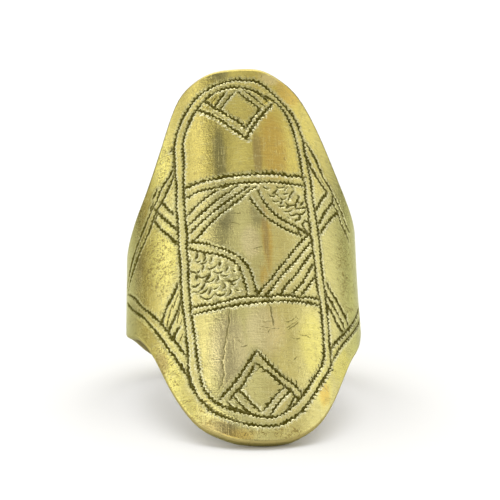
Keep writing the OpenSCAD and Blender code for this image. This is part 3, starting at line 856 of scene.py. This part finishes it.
    # less metallic at the painted glints on the beads and at the painted shade under the rim
    g.give(g.plus(1.0, g.weighed((beads, -0.5), (painted_shade_under_rim, -1.0))), shader.inputs["Metallic"])
    rough = g.plus(g.ranged(cloud, *CLOUDY, 0.13, 0.21), g.ranged(on_front, 0.0, 1.0, 0.07, 0.0),
                   g.ranged(speckle, 0.3, 0.7, -0.03, 0.03),
                   g.weighed((core, 0.30), (worked, 0.08), (inner_side, 0.20), (rim, 0.16),
                             (pits, 0.20), (painted_shade_under_rim, 0.50)))
    g.give(rough, shader.inputs["Roughness"])
    g.give(g.ranged(painted_shade_under_rim, 0.0, 1.0, 0.5, 0.05), shader.inputs["Specular IOR Level"])
    shader.inputs["Specular Tint"].default_value = (*GRAZING_TINT, 1)
    relief = g.weighed((brushed, 0.8), (speckle, 0.9), (core, -1.0),
                       (mottle, g.ranged(on_front, 0.0, 1.0, 1.2, 0.8)),
                       (g.times(flecks, worked), 1.6), (scuffed, 0.4), (beads, 0.6),
                       (pits, -0.6), (lines, -0.4))
    bump = g.nodes.new("ShaderNodeBump")
    bump.inputs["Strength"].default_value = RELIEF_STRENGTH
    bump.inputs["Distance"].default_value = RELIEF
    g.give(relief, bump.inputs["Height"])
    g.give(bump.outputs["Normal"], shader.inputs["Normal"])
    return material


FLOOR_TINTS = (0.84, 0.84, 0.835), (0.86, 0.86, 0.855)
FLOOR_R = 3.0


def pale_floor():
    material, shader, g, place = new_material("pale_floor")
    shader.inputs["Roughness"].default_value = 0.9
    g.give(g.blend(g.noise(place, 60.0), *FLOOR_TINTS), shader.inputs["Base Color"])
    return material


# Studio
def floor_under(lowest):
    bm = bmesh.new()
    bmesh.ops.create_circle(bm, cap_ends=True, segments=64, radius=FLOOR_R)
    bmesh.ops.translate(bm, vec=(0, 0, lowest), verts=bm.verts)
    me = bpy.data.meshes.new("floor")
    bm.to_mesh(me)
    bm.free()
    me.materials.append(pale_floor())
    floor = in_scene("floor", me)


# Soft light all round the finger's axis: degrees from straight out of the shield, brightness,
# warmth
LIGHT_ROUND = [
    (-180, 0.34, 0.5), (-150, 0.15, 0.9), (-136, 0.05, 0.9), (-122, 0.22, 0.9), (-110, 0.50, 0.5),
    (-99, 0.74, 0.0), (-88, 1.48, 0.0), (-76, 1.00, 0.0), (-66, 0.80, 0.0), (-58, 0.73, 0.0),
    (-47, 1.80, 0.0), (-39, 0.84, 0.0), (-33, 0.38, 0.0), (-27, 0.23, 0.0), (-20, 0.33, 0.0),
    (-13, 0.71, 0.0), (-4, 0.78, 0.0), (4, 0.63, 0.0), (11, 0.47, 0.2), (17, 0.54, 0.4),
    (26, 0.84, 0.5), (34, 0.58, 0.5), (42, 0.59, 0.3), (51, 1.14, 0.1), (60, 1.00, 0.0),
    (76, 1.05, 0.0), (90, 0.80, 0.0), (104, 0.81, 0.1), (122, 0.18, 0.4), (140, 0.12, 0.4),
    (180, 0.34, 0.4),
]
WARMTH = (0.0, 0.12, 0.38)  # shares of red, green and blue that full warmth takes away
LIGHT_TWIST = math.radians(38.0)  # of the light's bands, from end to end of the finger
TWIST_ENDS = (-1.45, 0.55)  # shares of the twist towards the foot and towards the head
LIGHT_BY_HEIGHT = (0.28, 0.50, 1.20, 0.88)  # from, to, along the finger: strength there
TOP_LIGHT = 2.1  # a soft light from above
TOP_LIGHT_FROM = (0.72, 0.95)
LIGHT_STRENGTH = 1.08


def studio_light():
    """Light in soft bands round the finger, so that the hoop shows them as a room's would. The
    camera itself sees white."""
    world = bpy.data.worlds.new("studio")
    bpy.context.scene.world = world
    world.use_nodes = True
    g = Graph(world.node_tree)
    way = g.mapped(g.nodes.new("ShaderNodeTexCoord").outputs["Generated"], (-LYING, 0, 0))
    x, y, z = g.apart(way)
    ramp = g.nodes.new("ShaderNodeValToRGB")
    ramp.color_ramp.interpolation = "EASE"
    stops = ramp.color_ramp.elements
    while len(stops) > 1:
        stops.remove(stops[-1])
    for number, (degrees, bright, warm) in enumerate(LIGHT_ROUND):
        at = (degrees + 180) / 360
        stop = stops[0] if number == 0 else stops.new(at)
        stop.position = at
        stop.color = [bright * (1 - taken * warm) for taken in WARMTH] + [1]
    twist = g.ranged(y, -1.0, 1.0, *(share * LIGHT_TWIST for share in TWIST_ENDS))
    round_finger = g.plus(g.maths("ARCTAN2", x, z), twist)
    g.give(g.ranged(round_finger, -math.pi, math.pi), ramp.inputs["Fac"])
    bands = g.nodes.new("ShaderNodeVectorMath")
    bands.operation = "SCALE"
    g.give(ramp.outputs["Color"], bands.inputs[0])
    g.give(g.ranged(y, *LIGHT_BY_HEIGHT), bands.inputs["Scale"])
    total = g.nodes.new("ShaderNodeVectorMath")
    g.give(bands.outputs[0], total.inputs[0])
    g.give(g.ranged(y, *TOP_LIGHT_FROM, 0.0, TOP_LIGHT, soft=True), total.inputs[1])
    seen = g.nodes.new("ShaderNodeLightPath").outputs["Is Camera Ray"]
    background = g.nodes["Background"]
    g.give(g.blend(seen, total.outputs[0], (1, 1, 1)), background.inputs["Color"])
    background.inputs["Strength"].default_value = LIGHT_STRENGTH


def camera_at_the_shield():
    """The camera, a little above the floor, turned so that the shield stands upright in view."""
    eye = Vector((-0.01038, -0.13606, 0.03129))
    aim = Vector((0.69, 0.84, 3.90)) * MM
    upright = Vector((0.0004, 0.2241, 0.9746))
    back = (eye - aim).normalized()
    right = upright.cross(back).normalized()
    up = back.cross(right)
    data = bpy.data.cameras.new("camera")
    data.sensor_width = 36.0
    data.lens = 110.9
    data.clip_start = 0.01
    camera = in_scene("camera", data)
    camera.matrix_world = Matrix.Translation(eye) @ Matrix((right, up, back)).transposed().to_4x4()
    bpy.context.scene.camera = camera


camera_at_the_shield()
ring = engraved_ring()
ring.data.materials.append(brass())
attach(ring, "root")
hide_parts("ring")
floor_under(min(v.co.z for v in ring.data.vertices))
studio_light()

view = bpy.context.scene.view_settings
view.view_transform = "Standard"
view.look = "None"
